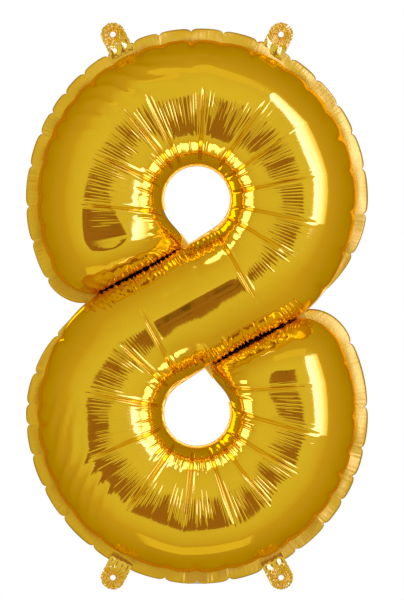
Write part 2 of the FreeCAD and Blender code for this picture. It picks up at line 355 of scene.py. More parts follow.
    def far_waist(self) -> tuple[float, float]:
        """The notch on the lobe's side, which is the other half's own notch turned round.

        Returns:
            Its angle and radius.
        """
        angle, radius = self.waist()
        across = radius * math.cos(math.radians(angle))
        down = 2 * self.ring_z + radius * math.sin(math.radians(angle))
        return HALF_TURN + math.degrees(math.atan2(down, across)), math.hypot(across, down)


# ---------------------------------------------------------------- creases of the film


@dataclass(frozen=True)
class Fold:
    """A sharp valley in the film with a soft shoulder on either side.

    The shoulder's height is a share of the valley's depth. It stands beside the line, with a spread of its own.
    """

    depth: float
    width: float
    shoulder: float
    beside: float
    spread: float

    def at(self, away: Array) -> Array:
        """The film's move at a distance from the line: a bell for the shoulder less an exponential valley."""
        bell = np.exp(-(((away - self.beside) / self.spread) ** 2))
        return self.depth * (self.shoulder * bell - np.exp(-away / self.width))


@dataclass(frozen=True)
class Gathers:
    """Round bulges side by side between sharp valleys, each of its own width and depth.

    A valley strays from its even place, over the stray length. The share of the full depth swings about its usual
    value, over the swing length, and stays between the least and the most. Finer bulges lie over the others.
    """

    depth: float
    pitch: float
    stray: float
    stray_length: float
    usual: float
    swing: float
    swing_length: float
    least: float
    most: float
    fine: float = 0.0
    fine_rate: float = 2.7
    fine_start: float = 0.8

    def at(self, place: Array, seed: int) -> Array:
        """The film's move: the size of a sine, less about its mean, so the bulges are round and the valleys sharp.

        Args:
            place: distance along the row of gathers.
            seed: what makes this row differ from another.

        Returns:
            The move along the film's own normal.
        """
        turn = math.pi * (place + self.stray * noise(seed, self.stray_length, place)) / self.pitch
        bulge = np.abs(np.sin(turn)) - GATHER_MEAN
        fine = np.abs(np.sin(self.fine_rate * turn + self.fine_start)) - GATHER_MEAN
        share = self.usual + self.swing * noise(seed + 1, self.swing_length, place)
        return self.depth * np.clip(share, self.least, self.most) * (bulge + self.fine * fine)


@dataclass(frozen=True)
class Lens:
    """The level patch on a lobe's crest: where its middle is round the ring and across, and how it is cut."""

    angle: float
    half_angle: float
    side: float
    depth: float
    tilt: float


@dataclass(frozen=True)
class Creasing:
    """Where one half's film is creased and how deeply. The lists run round the ring in the half's own frame.

    Attributes:
        creases: angles of the sharp radial creases.
        notches: angles of the rim's notches.
        seed: what makes this film's creases differ from another's.
        rim_seed: the same for the weld, which both films share.
        lens: the level patch on the lobe.
        folds: the angle about which the soft folds lie.
    """

    creases: tuple[float, ...]
    notches: tuple[float, ...]
    seed: int
    rim_seed: int
    lens: Lens
    folds: float
    crease: Fold = Fold(1.25 * MM, 0.7 * MM, 0.35, 1.9 * MM, 1.0 * MM)
    notch: Fold = Fold(0.9 * MM, 2.2 * MM, 0.3, 6.0 * MM, 4.0 * MM)
    eye: Gathers = Gathers(0.95 * MM, 4.9 * MM, 1.6 * MM, 12 * MM, 0.75, 0.45, 9 * MM, 0.2, 1.4, fine=0.12)
    slit: Gathers = Gathers(1.25 * MM, 3.4 * MM, 1.3 * MM, 17 * MM, 0.7, 0.5, 11 * MM, 0.1, 1.5)
    lobe: Gathers = Gathers(1.25 * MM, 7.6 * MM, 1.2 * MM, 16 * MM, 0.8, 0.5, 10 * MM, 0.2, 1.5)
    slit_seed: int = 11
    facet: float = 0.8
    crease_from: float = -84.0
    crease_to: float = 20.0
    eye_from: float = -66.0
    eye_to: float = -36.0
    notch_from: float = 66.0
    slit_from: float = 0.77
    slit_ragged: float = 0.14
    slit_outer_lead: float = 24.0 * MM
    slit_inner_lead: float = 8.0 * MM
    lobe_reach: float = 13.0 * MM
    pleat_pitch: float = 2.4 * MM
    pleat_depth: float = 0.17 * MM
    pleat_inward: float = 17.0 * MM
    pleat_outward: float = 10.0 * MM
    brow: float = 0.63
    brow_drop: float = 0.125
    edge: float = 0.83
    band_fall: float = 0.14
    waver: float = 0.9 * MM
    shiver: float = 0.35 * MM
    notch_pull: float = 0.7 * MM
    notch_half: float = 1.6 * MM
    scallop: float = 0.4 * MM
    eye_round: float = 32.0 * MM
    press: float = 2.8 * MM
    press_gap: float = 0.05 * MM
    press_fade: float = 26.0 * MM
    crest_reach: float = 37.0 * MM
    crest_step: float = 0.45 * MM
    soft_depth: float = 0.62 * MM
    soft_pitch: float = 9.5 * MM
    soft_lean: float = 38.0
    soft_span: float = 34.0
    crown_depth: float = 1.3 * MM
    crown_side: float = 0.63
    crown_angle: float = 86.0
    crown_half: float = 7.0
    crown_rise: float = 0.0012
    sway: float = 0.28 * MM
    sway_seed: int = 21


UPPER_CREASES = (-60.0, -31.0, -12.0, 10.0, 34.5, 54.5, 86.0, 116.0, 129.0, 157.0, 185.0)
UPPER_NOTCHES = (
    -35.0, -19.5, -5.0, 10.5, 23.0, 34.0, 45.0, 56.0, 69.0, 81.0, 92.0, 103.0, 112.0, 122.0, 132.0, 141.0,
    149.0, 157.0, 168.5, 182.5, 194.5, 208.0,
)
LOWER_CREASES = (-62.0, -43.0, -11.5, 22.0, 54.0, 84.0, 109.0, 129.0, 150.0, 172.0, 196.0)
LOWER_NOTCHES = (
    -29.0, -14.0, -3.0, 4.0, 14.5, 26.0, 38.0, 52.0, 66.0, 79.0, 90.0, 101.0, 113.0, 126.0, 139.0, 149.0,
    158.0, 168.0, 182.0, 204.5,
)


@dataclass(frozen=True)
class HalfFilm:
    """The film of one half of the figure, worked out on a grid of sections along by places across.

    Attributes:
        figure: the layout.
        creasing: this half's creases.
        face: which film.
        flipped: True for the half that is to be given half a turn.
        along: distance of each section from the lobe's end, as a column.
        across: angle of each place across, -90 at the eye's weld to 90 at the outer weld, as a row.
    """

    figure: Figure
    creasing: Creasing
    face: Face
    flipped: bool
    along: Array
    across: Array

    @cached_property
    def side(self) -> Array:
        """-1 at the eye's weld to 1 at the outer weld, as a row."""
        return np.sin(np.radians(self.across))

    @cached_property
    def reach(self) -> Array:
        """Distance from the crest along the tube's width, as a row."""
        return self.side * self.figure.tube_width / 2

    @cached_property
    def angle(self) -> Array:
        """Each section's angle about the ring, as a column."""
        return self.figure.section_angle(self.along)

    @cached_property
    def on_ring(self) -> Array:
        """1 round the ring, eased to 0 at the lobe's end and at the balloon's middle."""
        return hump(self.along, 6 * MM, self.figure.half_length, 30 * MM, 45 * MM)

    @cached_property
    def on_rim(self) -> Array:
        """1 where the outer weld has a wide rim beyond it, 0 along the slit and at the lobe's end."""
        return ease((self.angle - self.figure.waist()[0]) / 14.0) * ease((self.along - 4 * MM) / (12 * MM))

    @cached_property
    def flat(self) -> tuple[Array, Array]:
        """The film seen from the front: the figure's points, drawn in to facets and scallops and pressed together.

        Returns:
            x, and z above the ring's centre.
        """
        x, z = self.figure.place(self.along, self.side)
        shrink = self.facets()
        x, z = x * shrink, z * shrink
        shrink = 1.0 - self.seam_pull() / np.hypot(x, z)
        return self.pressed(x * shrink, z * shrink)

    def noise(self, number: int, length: float, *coordinates: Array) -> Array:
        """This film's own noise of the given number."""
        return noise(self.creasing.seed + number, length, *coordinates)

    def grid(self) -> tuple[Array, Array, Array]:
        """The creased film.

        The tube's section is half an ellipse over the flat figure. It is laid over the facets between the radial
        creases, then moved along its own normal by the creases, pleats, gathers, notches and a gentle sway.

        Returns:
            x, y and z, each a grid.
        """
        x, z = self.flat
        z = z + self.figure.ring_z
        y = -self.levelled(self.figure.rise * quarter_round(self.along / self.figure.lobe_rise) * self.section())
        move = self.radial_creases() + self.pleats() + self.eye_gathers() + self.slit_gathers()
        move = move + self.notch_folds() + self.soft_folds() + self.crest_fold() + self.sway()
        normal = grid_normals(x, y, z)
        waver = self.rim_waver() * ease((self.side - 0.75) / 0.25) * self.on_rim
        return x + normal[0] * move, -self.face.value * (y + normal[1] * move) + waver, z + normal[2] * move

    def section(self) -> Array:
        """The section's height as a share of the rise.

        It is half an ellipse, fuller outside the crest of a ring and thinned at the rim. Round an eye its inner
        half is the lowest of three lines with rounded joins: a gentle slope from the crest, a steeper gathered
        band from the brow to the edge, and a wall from the edge to the weld.

        Returns:
            The share at each place of the grid.
        """
        creasing, side = self.creasing, self.side
        outer = ease((side - 0.5) / 0.45) * self.on_rim
        broad = 2.0 + 0.5 * (1.0 - self.figure.narrowing(self.angle)) * (side > 0)
        round_height = np.clip(1.0 - np.abs(side) ** broad, 0.0, 1.0) ** (0.5 + 0.18 * outer)
        inward = np.clip(-side, 0.0, 1.0)
        slope = 1.0 - creasing.brow_drop * (inward / creasing.brow) ** 1.6
        share = (inward - creasing.brow) / (creasing.edge - creasing.brow)
        band = 1.0 - creasing.brow_drop - creasing.band_fall * share
        foot = 1.0 - creasing.brow_drop - creasing.band_fall
        wall = foot * (np.clip(1.0 - inward, 0.0, None) / (1.0 - creasing.edge)) ** 0.6
        browed = lowest(lowest(slope, band, 0.03), wall, 0.06)
        past_join = self.angle - self.figure.join_angle
        near_eye = ease((self.along - 14 * MM) / (36 * MM)) * ease((past_join + 12.0) / 40.0)
        return round_height + (browed - round_height) * near_eye * (side < 0)

    def facets(self) -> Array:
        """Straightens the film between two radial creases: the crest and the eye's side follow a polygon.

        A polygon's side lies at cos(half its span) over cos(angle from its middle) of the corner's distance.

        Returns:
            What each point's distance from the ring's centre is multiplied by.
        """
        middle, span = between(self.creasing.creases, self.angle)
        flat = np.cos(np.radians(span)) / np.cos(np.radians(np.clip(self.angle - middle, -span, span)))
        inside = np.cos(np.radians(self.across)) ** np.where(self.across < 0, 0.6, 2.5)
        return 1.0 + self.creasing.facet * inside * self.on_ring * (flat - 1.0)

    def rim_waver(self) -> Array:
        """How far the weld sways out of its plane round the ring: a slow waver with a finer one over it."""
        seed, angle = self.creasing.rim_seed + 5, self.angle
        return self.creasing.waver * noise(seed, 47.0, angle) + self.creasing.shiver * noise(seed + 1, 13.0, angle)

    def seam_pull(self) -> Array:
        """How far the outer weld is drawn in: sharply at each notch, and slightly out between two notches.

        Returns:
            The pull at each place of the grid, fading out towards the crest.
        """
        creasing, radius = self.creasing, self.figure.outer_radius
        away = away_from(creasing.notches, self.angle, radius)
        _, span = between(creasing.notches, self.angle)
        bulge = np.clip(away / (np.radians(span) * radius), 0.0, 1.0)
        pull = creasing.notch_pull * np.exp(-away / creasing.notch_half) - creasing.scallop * ease(bulge)
        return pull * ease((self.side - 0.8) / 0.2) * self.on_rim

    def pressed(self, x: Array, z: Array) -> tuple[Array, Array]:
        """Leans the tubes over both slits until they touch above the weld.

        A point nearer to a slit's middle plane than the press is moved onto it, and the move fades out with
        distance.

        Args:
            x: the film's x.
            z: the film's z above the ring's centre.

        Returns:
            The moved x and z.
        """
        figure, creasing = self.figure, self.creasing
        normal = math.radians(figure.join_angle)
        out = x * math.cos(normal) + z * math.sin(normal)
        run = x * math.sin(normal) - z * math.cos(normal)
        far = 2 * figure.diagonal_offset
        move = 0.0
        for plane, start in ((figure.slit_middle, run), (far - figure.slit_middle, 2 * figure.half_diagonal - run)):
            gap = plane - out
            near = ease((start - figure.slit_start - 1 * MM) / (9 * MM))
            near = near * np.clip(1.0 - np.abs(gap) / creasing.press_fade, 0.0, 1.0)
            away = np.maximum(np.abs(gap) - creasing.press_gap, 0.0)
            move = move + np.sign(gap) * np.minimum(away, creasing.press) * near
        return x + move * math.cos(normal), z + move * math.sin(normal)

    def levelled(self, height: Array) -> Array:
        """Presses the lobe's crest level: the cut leaves a lens, deepest in its middle and pointed at both ends.

        Args:
            height: the film's height over the weld.

        Returns:
            The height, no more than that of the cut.
        """
        lens = self.creasing.lens
        length = (self.angle - lens.angle) / lens.half_angle
        crest = self.figure.rise * (1.0 - 0.5 * lens.side**2)
        top = crest - lens.depth * np.clip(1.0 - np.abs(length), 0.0, None) ** 1.2
        tilt = lens.tilt * (self.side - lens.side) * self.figure.tube_width / 2
        return np.where(np.abs(length) < 1.0, np.minimum(height, top + tilt), height)

    def radial_creases(self) -> Array:
        """Sharp valleys from the eye out to the crest.

        Returns:
            The move along the film's own normal.
        """
        away = away_from(self.creasing.creases, self.angle, self.figure.ring_radius + self.reach)
        end = self.creasing.crease_to + 8.0 * self.noise(1, 40.0, self.angle)
        return self.creasing.crease.at(away) * hump(self.across, self.creasing.crease_from, end, 18.0) * self.on_ring

    def pleats(self) -> Array:
        """Fine gathers along the crest: narrow ridges across it, whose lengths and depths wander and fade out.

        The ridges are a raised cosine cubed. Beside a radial crease they are deeper and longer.

        Returns:
            The move along the film's own normal.
        """
        creasing, along = self.creasing, self.along
        turn = 2 * math.pi * (along + 0.9 * MM * self.noise(2, 21 * MM, along)) / creasing.pleat_pitch
        wave = 1.8 * (0.5 + 0.5 * np.cos(turn)) ** 3 - 0.5
        close = np.exp(-away_from(creasing.creases, self.angle, self.figure.ring_radius) / (7 * MM))
        strength = np.clip(0.62 + 0.5 * self.noise(3, 15 * MM, along), 0.08, 1.3) + 0.7 * close
        ragged, other = (self.noise(4, 4.5 * MM, along + shift) for shift in (0.0, 0.1))
        inward = creasing.pleat_inward * (0.75 + 0.35 * ragged + 0.5 * close)
        outward = creasing.pleat_outward * (0.8 + 0.45 * other + 0.5 * close)
        band = hump(self.reach, -inward, outward, 7 * MM, 6 * MM)
        start = ease((along - 26 * MM) / (26 * MM))
        finish = ease((self.angle - self.figure.join_angle - 2.0) / 18.0)
        return creasing.pleat_depth * strength * wave * band * start * finish

    def eye_gathers(self) -> Array:
        """Gathers over the brow round the eye, up to a ragged edge.

        Returns:
            The move along the film's own normal.
        """
        creasing = self.creasing
        near = np.radians(self.angle) * creasing.eye_round
        band = hump(self.across, creasing.eye_from, creasing.eye_to + 6.0 * self.noise(9, 7 * MM, near), 10.0)
        return creasing.eye.at(near, creasing.seed + 7) * band * self.on_ring

    def slit_gathers(self) -> Array:
        """Gathers along both slits: across the diagonal's two edges, and along the lobe where it meets its slit.

        The diagonal's run on evenly from one half into the other, so both halves share their seed.

        Returns:
            The move along the film's own normal.
        """
        figure, creasing = self.figure, self.creasing
        run = 2 * figure.half_length - self.along if self.flipped else self.along
        ragged = np.clip(0.5 + 0.5 * noise(creasing.slit_seed + 2, 13 * MM, run), 0.0, 1.0)
        edge = creasing.slit_from - creasing.slit_ragged * ragged
        beside = hump(np.abs(self.side), edge, 1.0, creasing.slit_ragged, 0.02)
        lead = np.where(self.side > 0, creasing.slit_outer_lead, creasing.slit_inner_lead)
        start = figure.half_length - figure.half_diagonal - lead
        diagonal = creasing.slit.at(run, creasing.slit_seed) * beside * ease((self.along - start) / (10 * MM))
        reach = creasing.lobe_reach + 4 * MM * self.noise(16, 9 * MM, self.reach)
        lobe = creasing.lobe.at(self.reach, creasing.seed + 14) * hump(self.along, 0.2 * MM, reach, 5 * MM)
        return diagonal + lobe

    def notch_folds(self) -> Array:
        """The fold that runs in from each notch of the rim, dying out up the tube's outer flank.

        Returns:
            The move along the film's own normal.
        """
        away = away_from(self.creasing.notches, self.angle, self.figure.outer_radius)
        start = self.creasing.notch_from + 12.0 * self.noise(17, 23.0, self.angle)
        return self.creasing.notch.at(away) * hump(self.across, start, RIGHT_ANGLE, 20.0, 3.0) * self.on_rim

    def soft_folds(self) -> Array:
        """Long soft folds askew over the outer flank, unevenly spaced, and one level crease at the crown.

        The folds are a sine of the distance along a leaning line, with its crests raised. The crease is a sharp
        valley with a small ridge above it.

        Returns:
            The move along the film's own normal.
        """
        creasing, (x, z) = self.creasing, self.flat
        lean = math.radians(creasing.folds - creasing.soft_lean)
        drift = 3 * MM * self.noise(19, 60 * MM, x, z + self.figure.ring_z)
        ridge = np.sin(2 * math.pi * (x * math.cos(lean) + z * math.sin(lean) + drift) / creasing.soft_pitch)
        span = hump(self.angle, creasing.folds - creasing.soft_span, creasing.folds + creasing.soft_span, 22.0)
        folds = creasing.soft_depth * (ridge + 0.6 * np.abs(ridge)) * hump(self.side, 0.22, 0.93, 0.28) * span
        if self.flipped or self.face is not Face.FRONT:
            return folds
        past = self.angle - creasing.crown_angle
        crown = (self.side - creasing.crown_side + creasing.crown_rise * past) * self.figure.tube_width / 2
        crease = np.exp(-np.abs(crown + 0.8 * MM) / (1.1 * MM)) - 1.4 * np.exp(-np.abs(crown) / (0.6 * MM))
        return folds + creasing.crown_depth * crease * hump(past, -creasing.crown_half, creasing.crown_half, 5.0)

    def crest_fold(self) -> Array:
        """One straight fold along the diagonal's crest: a sharp step down from one side of the line to the other.

        Returns:
            The move along the film's own normal.
        """
        past = self.along - self.figure.half_length + self.creasing.crest_reach
        place = (self.reach if self.flipped else -self.reach) - 1.5 * MM
        high = np.exp(-np.clip(place, 0.0, None) / (5 * MM)) * (place > 0)
        low = np.exp(np.clip(place, None, 0.0) / (0.9 * MM)) * (place <= 0)
        return self.creasing.crest_step * (high - low) * ease(past / (9 * MM))

    def sway(self) -> Array:
        """Slow unevenness of the film, none at the welds, that runs on from one half into the other.

        Returns:
            The move along the film's own normal.
        """
        sign = -1.0 if self.flipped else 1.0
        x, z = sign * self.flat[0], sign * (self.flat[1] + self.figure.ring_z)
        seed = self.creasing.sway_seed + int(self.face.value)
        broad, middle = noise(seed, 55 * MM, x, z), noise(seed + 3, 21 * MM, x, z)
        return self.creasing.sway * (broad + 0.1 * middle) * np.cos(np.radians(self.across))


def grid_normals(x: Array, y: Array, z: Array) -> Array:
    """Unit normals of a grid from the cross product of its two differences, turned to face -Y at the crest.

    Args:
        x: x of each point.
        y: y of each point.
        z: z of each point.

    Returns:
        The normal's x, y and z, each a grid.
    """
    rows, columns = (np.stack([np.gradient(v, axis=axis) for v in (x, y, z)], axis=-1) for axis in (0, 1))
    normal = np.cross(rows, columns)
    normal /= np.maximum(np.linalg.norm(normal, axis=-1, keepdims=True), 1e-12)
    if normal[:, normal.shape[1] // 2, 1].mean() > 0:
        normal = -normal
    return np.moveaxis(normal, -1, 0)


# ---------------------------------------------------------------- meshes


def surface(grid: Array, along_y: float, closed: bool = False) -> tuple[Array, Array]:
    """Makes one four-cornered face of each cell of a grid, and turns all of them to look the given way on the whole.

    Args:
        grid: x, y and z of each point, row by row.
        along_y: positive or negative, the way along Y that the faces look.
        closed: whether the last row is joined to the first.

    Returns:
        One row of x, y, z for each vertex, and one row of vertex numbers for each face.
    """
    rows, columns, _ = grid.shape
    low = (np.arange(rows if closed else rows - 1)[:, None] * columns + np.arange(columns - 1)).ravel()
    high = (low + columns) % (rows * columns)
    faces = np.stack([low, low + 1, high + 1, high], axis=1)
    points = grid.reshape(-1, 3)
    corners = points[faces]
    normal = np.cross(corners[:, 1] - corners[:, 0], corners[:, 2] - corners[:, 0])
    return points, faces[:, ::-1] if normal[:, 1].sum() * along_y < 0 else faces


def in_place(index: int, x: Array, y: Array, z: Array) -> Array:
    """Points of a grid in the balloon's frame: the second half is given half a turn about Y."""
    sign = -1.0 if index else 1.0
    return np.stack([sign * x, y + 0 * x, sign * z], axis=-1)


def mesh_piece(
    name: str, mesh_arrays: tuple[Array, Array], material: bpy.types.Material, uv: Array | None = None,
    thickness: float = 0.0,
) -> bpy.types.Object:
    """Makes a smooth-shaded object from arrays.

    Args:
        name: the piece's name.
        mesh_arrays: its points and faces, as surface gives them.
        material: its finish.
        uv: one row of u, v for each vertex, or None.
        thickness: of the film, half of it on either side.

    Returns:
        The object, at the origin.
    """
    points, faces = mesh_arrays
    mesh = bpy.data.meshes.new(name)
    mesh.from_pydata(points.tolist(), [], faces.tolist())
    mesh.polygons.foreach_set("use_smooth", np.ones(len(mesh.polygons), bool))
    if uv is not None:
        layer = mesh.uv_layers.new(name="film")
        corner = np.zeros(len(mesh.loops), np.int32)
        mesh.loops.foreach_get("vertex_index", corner)
        layer.data.foreach_set("uv", uv[corner].astype(np.float32).ravel())
    mesh.materials.append(material)
    mesh.update()
    piece = bpy.data.objects.new(name, mesh)
    bpy.context.scene.collection.objects.link(piece)
    if thickness:
        thick = piece.modifiers.new("plies", "SOLIDIFY")
        thick.thickness = thickness
        thick.offset = 0.0
    return piece


@dataclass
class Panel:
    """One film of the balloon: the creased tube from lobe to lobe, out to the welds."""

    name: str
    node: str
    face: Face
    figure: Figure
    halves: tuple[Creasing, Creasing]
    material: bpy.types.Material
    flat: tuple[float, float] = (0.33, 0.5)
    flat_area: float = 0.1235
    end_sections: int = 90
    sections: int = 850
    places: int = 48
    joined: int = 40

    def stations(self) -> Array:
        """Distances of one half's sections, crowded towards the lobe's end where the film turns upright.

        Returns:
            The distances as a column.
        """
        turn = np.linspace(0.0, math.pi / 2, self.end_sections)
        end = self.figure.lobe_rise * (1.0 - np.cos(turn))
        rest = np.linspace(self.figure.lobe_rise, self.figure.half_length, self.sections)
        return np.concatenate([end[:-1], rest])[:, None]

    def half(self, index: int) -> Array:
        """Points of one half's film in the balloon's frame.

        Args:
            index: which half.

        Returns:
            x, y and z of each point of the grid.
        """
        across = np.linspace(-RIGHT_ANGLE, RIGHT_ANGLE, self.places)[None, :]
        film = HalfFilm(self.figure, self.halves[index], self.face, bool(index), self.stations(), across)
        return in_place(index, *film.grid())

    def build(self) -> bpy.types.Object:
        """Joins the two halves, easing both to the mean of their last sections, and hides the part that the film
        replaces.

        Returns:
            The film.
        """
        upper, lower = self.half(0), self.half(1)[::-1, ::-1]
        middle = (upper[-1] + lower[0]) / 2
        share = ease(np.linspace(0.0, 1.0, self.joined))[:, None, None]
        upper[-self.joined:] += (middle - upper[-1]) * share
        lower[:self.joined] += (middle - lower[0]) * share[::-1]
        grid = np.concatenate([upper[:-1], lower])
        uv = np.meshgrid(np.linspace(0, 1, len(grid)), np.linspace(0, 1, self.places), indexing="ij")
        uv = np.stack(uv, axis=-1).reshape(-1, 2)
        piece = mesh_piece(self.name, surface(grid, self.face.value), self.material, uv)
        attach(piece, "balloon")
        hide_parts(self.node)
        self.flat
        return piece


@dataclass
class Weld:
    """The flat two-ply weld: the scalloped rim outside, the lip round each eye and the strip down each slit."""

    figure: Figure
    halves: tuple[Creasing, Creasing]
    material: bpy.types.Material
    plies: float = 0.12 * MM
    tuck: float = 1.6 * MM
    rim_rows: int = 8
    lip_rows: int = 4
    strip_rows: int = 25
    strip_half: float = 9.0 * MM
    strip_sections: int = 120
    sections: int = 1300
    waist_turn: float = 17.0
    notch: float = 1.9 * MM
    notch_half: float = 1.3 * MM
    scallop: float = 0.55 * MM
    crimp: float = 0.06 * MM
    curl: float = 0.4 * MM
    lip_flare: float = 0.25 * MM
    inlet_angle: float = 90.0
    inlet_half: float = 17.0 * MM
    inlet_pinch: float = 0.6 * MM

    def ribbon(self, index: int, x: Array, y: Array, z: Array) -> tuple[Array, Array]:
        """A grid as part of the weld, facing the front.

        Args:
            index: which half.
            x: x of each point.
            y: y of each point.
            z: z of each point above the ring's centre.

        Returns:
            Points and faces.
        """
        return surface(in_place(index, x, y, z + self.figure.ring_z), Face.FRONT.value)

    def seam(self, index: int, along: Array, side: float) -> tuple[Array, Array, Array]:
        """Where the film's edge runs.

        Args:
            index: which half.
            along: distance of each section from the lobe's end, as a column.
            side: -1 for the eye's weld, 1 for the outer weld.

        Returns:
            x, sway and z above the ring's centre, as columns.
        """
        across = np.array([[80.0, 85.0, RIGHT_ANGLE]]) * side
        film = HalfFilm(self.figure, self.halves[index], Face.FRONT, bool(index), along, across)
        x, y, z = (values[:, 2:] for values in film.grid())
        return x, y, z - self.figure.ring_z

    def rim_edge(self, angle: Array) -> Array:
        """Radius of the rim's edge, drawn in towards the notch that each slit runs out to.

        Args:
            angle: about the ring.

        Returns:
            The radius, with no scallops yet.
        """
        figure = self.figure
        right_angle, right_radius = figure.waist()
        left_angle, left_radius = figure.far_waist()
        slim = np.minimum(figure.narrowing(angle) / figure.narrowing(np.array(right_angle)), 1.0)
        drop = figure.corner_cut((left_angle - angle) / self.waist_turn) / figure.corner_cut(np.array(0.0))
        drop = np.where(angle > left_angle - self.waist_turn, drop, 0.0)
        outer = figure.rim_radius
        return outer - (outer - right_radius) * slim - (outer - left_radius) * drop

    def rim(self, index: int) -> tuple[Array, Array]:
        """The rim of one half: from inside the seam to the scalloped edge, along rays from the ring's centre.

        Each scallop leans its own way out of the weld plane, and is crimped by small waves that grow outwards.
        About the valve's inlet, on the second half, the rim lies flat between two pinches.

        Args:
            index: which half.

        Returns:
            Points and faces.
        """
        figure, creasing = self.figure, self.halves[index]
        stop = figure.lobe_length + math.radians(figure.lobe_square - figure.waist()[0]) * figure.ring_radius
        x, waver, z = self.seam(index, np.linspace(0.0, 1.0, self.sections)[:, None] * stop, 1.0)
        radius, angle = polar(x, z, -RIGHT_ANGLE)
        away = away_from(creasing.notches, angle, figure.outer_radius)
        middle, span = between(creasing.notches, angle)
        bulge = quarter_round(away / (np.radians(span) * figure.outer_radius))
        edge = np.maximum(self.rim_edge(angle), radius + figure.slit_weld / 2)
        wide = ease((edge - radius) / (5 * MM))
        edge = edge - wide * (self.notch * np.exp(-away / self.notch_half) - self.scallop * (bulge - 0.8))
        share = np.linspace(0.0, 1.0, self.rim_rows)[None, :]
        reach = radius - self.tuck + (edge - radius + self.tuck) * share
        lean = (1.7 + 0.8 * np.sin(7.3 * middle + creasing.seed)) * MM * (0.4 + 0.6 * bulge)
        fine, finer, slow = (
            noise(creasing.seed + number, length, angle) for number, length in ((31, 2.1), (32, 0.9), (33, 17.0))
        )
        aside = np.abs(np.radians(angle - self.inlet_angle)) * figure.rim_radius
        free = 1.0 - index * ease((self.inlet_half - aside) / (9 * MM))
        pinch = self.inlet_pinch * np.sin(aside / (0.6 * MM)) * hump(aside, 7.6 * MM, 14 * MM, 2 * MM)
        crimp = self.crimp * (fine + 0.7 * finer) * share
        curl = self.curl * slow * np.sin(np.pi * share)
        y = (waver + (lean * share**2 + crimp + curl) * wide) * free + index * pinch * share * wide
        turn = np.radians(angle)
        return self.ribbon(index, reach * np.cos(turn), y, reach * np.sin(turn))

    def eye_edge(self, angle: Array) -> Array:
        """Radius of the eye's hole: a circle, but for the two straight sides that meet at the point.

        Args:
            angle: about the ring.

        Returns:
            The radius.
        """
        figure = self.figure
        away = np.abs((angle - figure.eye_point_angle + HALF_TURN) % FULL_TURN - HALF_TURN)
        spread = math.degrees(math.acos(figure.eye_radius / figure.eye_point))
        return figure.eye_radius / np.cos(np.radians(np.clip(spread - away, 0.0, spread)))

    def lip(self, index: int) -> tuple[Array, Array]:
        """The lip round one eye: a teardrop hole, round on the ring's side and pointed where the slit begins.

        Args:
            index: which half.

        Returns:
            Points and faces.
        """
        figure = self.figure
        along = np.linspace(0.0, 1.0, self.sections // 2)[:, None] * figure.half_length
        x, _, z = self.seam(index, along, -1.0)
        start = figure.join_angle - 100.0
        radius, angle = polar(x, z, start)
        angle = np.where(along > figure.lobe_length, np.minimum(angle, start + FULL_TURN - 1), angle)
        past_point = angle - figure.eye_point_angle
        keep = ((past_point > 0.0) & (past_point < FULL_TURN))[:, 0]
        radius, angle = radius[keep], angle[keep]
        edge = np.minimum(self.eye_edge(angle), radius - 0.3 * MM)
        share = np.linspace(0.0, 1.0, self.lip_rows)[None, :]
        reach = radius + self.tuck + (edge - radius - self.tuck) * share
        flare = self.lip_flare * noise(self.halves[index].seed + 41, 19.0, angle) * share
        turn = np.radians(angle)
        return self.ribbon(index, reach * np.cos(turn), flare, reach * np.sin(turn))

    def slit(self, index: int) -> tuple[Array, Array]:
        """The flat strip down one slit, from the eye's point to the notch at the waist, hidden in the tubes beside.

        On the lobe's side its end follows the eye's straight side, which runs nearly square to the slit.

        Args:
            index: which half's slit.

        Returns:
            Points and faces.
        """
        figure = self.figure
        reach = np.linspace(-1.0, 1.0, self.strip_rows)[None, :] * self.strip_half
        notch = math.sqrt(figure.far_waist()[1] ** 2 - figure.slit_middle**2)
        lean = math.asin(figure.eye_radius / figure.eye_point) - math.pi / 2
        lean = lean + math.atan2(figure.slit_middle, figure.slit_start)
        first = figure.slit_start + np.maximum(-reach, 0.0) * math.tan(lean)
        run = first + (notch - first) * np.linspace(0.0, 1.0, self.strip_sections)[:, None]
        normal = math.radians(figure.join_angle)
        out = figure.slit_middle + reach
        x = out * math.cos(normal) + run * math.sin(normal)
        return self.ribbon(index, x, 0 * x, out * math.sin(normal) - run * math.cos(normal))

    def build(self) -> bpy.types.Object:
        """Joins the ribbons into one piece with the thickness of two plies.

        Returns:
            The weld.
        """
        points, faces, count = [], [], 0
        for index in (0, 1):
            for spots, cells in (self.rim(index), self.lip(index), self.slit(index)):
                points.append(spots)
                faces.append(cells + count)
                count += len(spots)
        arrays = np.concatenate(points), np.concatenate(faces)
        piece = mesh_piece("weld", arrays, self.material, thickness=self.plies)
        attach(piece, "balloon")
        return piece


class TabSite(Enum):
    """Where a hanging tab stands: its name, which side it is on and whether it points up or down."""

    UPPER_LEFT = ("upper_left", -1.0, 1.0)
    UPPER_RIGHT = ("upper_right", 1.0, 1.0)
    LOWER_LEFT = ("lower_left", -1.0, -1.0)
    LOWER_RIGHT = ("lower_right", 1.0, -1.0)


